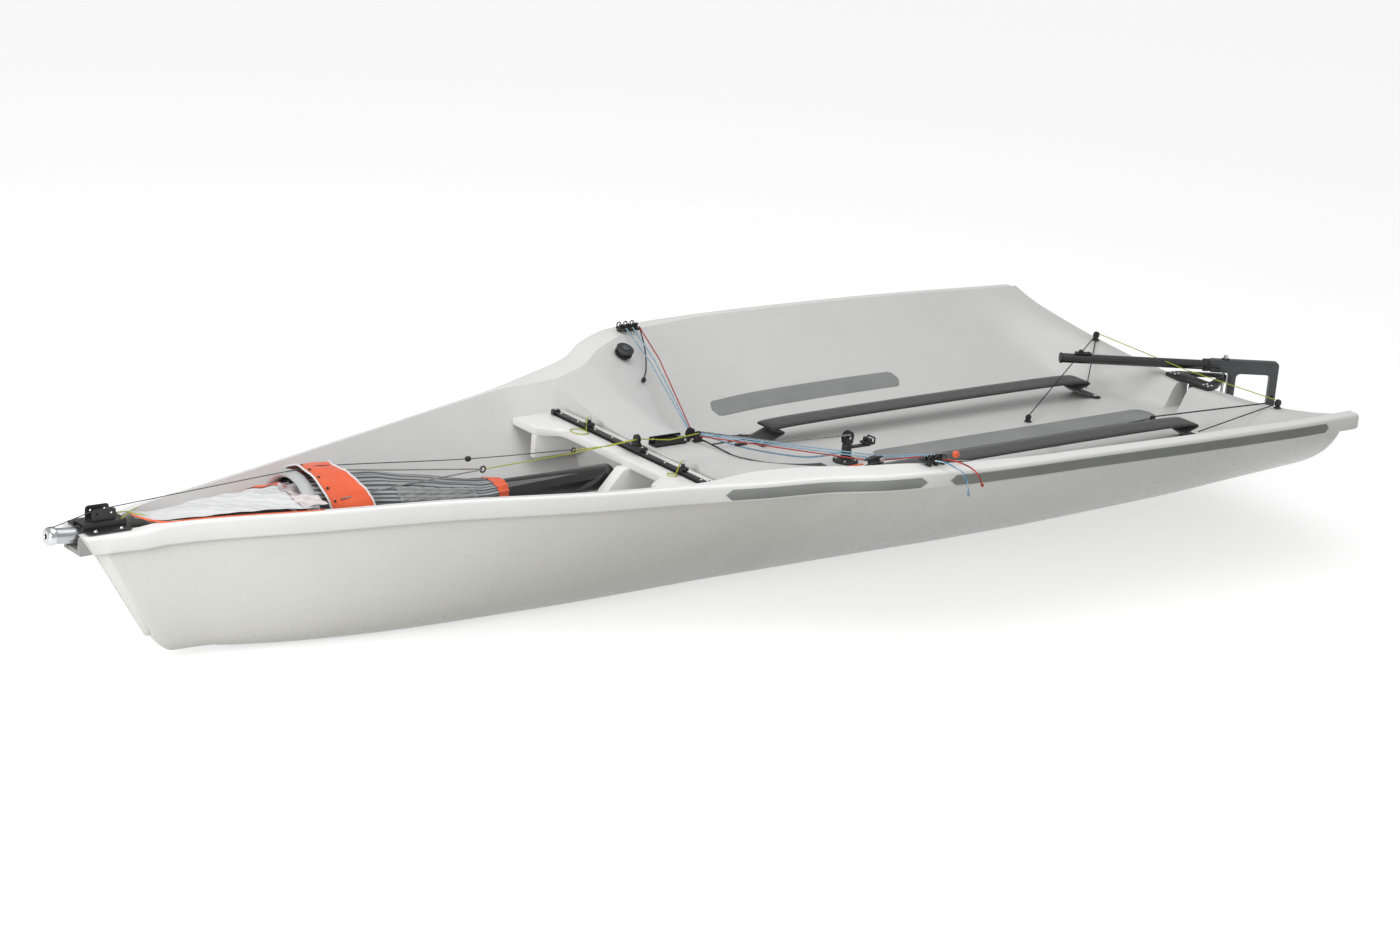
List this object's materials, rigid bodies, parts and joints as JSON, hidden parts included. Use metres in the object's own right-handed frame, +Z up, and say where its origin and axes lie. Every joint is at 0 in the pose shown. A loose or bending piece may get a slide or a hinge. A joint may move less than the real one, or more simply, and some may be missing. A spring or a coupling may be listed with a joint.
{
  "type": "sailing dinghy",
  "caption": "Open two-person skiff dinghy with solid wings, retracting bow pole, spinnaker chute, jib track, toe straps and a tiller on an open rudder stock; unrigged.",
  "frame": {"origin": "on the ground under the middle of the whole boat, from the pole's cap to the rudder stock", "axes": "+X to the bow, +Y to port, +Z up"},
  "size_m": [4.8112, 1.795, 0.566],
  "materials": {
    "hull_gelcoat": "moulded white gelcoat, gloss",
    "deck_gelcoat": "moulded white gelcoat with a fine grip texture on the flats",
    "pad_foam": "grey foam grip pad, fine ribs",
    "black_metal": "black anodised plate and extrusion",
    "grey_metal": "dark grey anodised aluminium",
    "silver_tube": "clear anodised tube",
    "stainless": "polished stainless steel",
    "black_plastic": "glass-filled black plastic",
    "black_gloss": "gloss black",
    "carbon": "clear-coated carbon tube",
    "grey_tube": "grey coated tube",
    "orange_cloth": "orange sailcloth",
    "white_cloth": "pale sailcloth",
    "grey_mesh": "grey mesh cloth",
    "webbing": "black padded webbing",
    "dark_liner": "dark moulded liner",
    "fleck_rope": "black and white braided line",
    "blue_rope": "blue and white braided line",
    "red_rope": "red and black braided line"
  },
  "bodies": {
    "hull": {"hull_moulding": "hull_gelcoat", "deck_moulding": "deck_gelcoat", "gunwale_port": "hull_gelcoat", "gunwale_starboard": "hull_gelcoat", "bow_block": "hull_gelcoat", "mast_beam": "deck_gelcoat", "bow_fitting": "black_metal", "chute_arch": "grey_tube", "chute_skirt": "orange_cloth", "chute_trough": "white_cloth", "chute_sock": "grey_mesh", "chute_tunnel": "black_gloss", "forestay_wire": "stainless", "jib_track": "black_metal", "track_stops": "black_plastic", "jib_car": "black_plastic", "mast_step": "black_metal", "mast_step_pin": "stainless", "mast_foot_blocks": "black_plastic", "daggerboard_case": "dark_liner", "toe_strap_port": "webbing", "toe_strap_starboard": "webbing", "floor_grip_pad": "pad_foam", "wing_grip_pads": "pad_foam", "gunwale_grip_pads": "pad_foam", "mainsheet_base": "black_plastic", "mainsheet_swivel": "black_plastic", "ratchet_blocks": "black_plastic", "line_cleats": "black_plastic", "floor_eyes": "black_plastic", "wing_eyes": "black_plastic", "gantry_bracket": "black_metal", "gantry_post": "grey_metal", "hinge_pin": "stainless", "lower_gudgeon": "grey_metal", "transom_bungs": "black_plastic", "halyard_hank": "fleck_rope", "tail_blue": "blue_rope", "tail_red": "red_rope"},
    "pole": {"spinnaker_pole": "silver_tube", "pole_cap": "stainless"},
    "rudder": {"rudder_stock": "grey_metal", "tiller": "carbon", "tiller_plug": "black_plastic", "tiller_fitting": "black_plastic"}
  },
  "joints": [
    {"name": "pole_slide", "type": "slide", "parent": "hull", "child": "pole", "axis": [0.9954, 0, 0.0958], "range_m": [0, 1.1]},
    {"name": "steering", "type": "hinge", "parent": "hull", "child": "rudder", "pos_m": [-2.23074, 0, 0.3], "axis": [0, 0, 1], "range_deg": [-14, 76]}
  ]
}
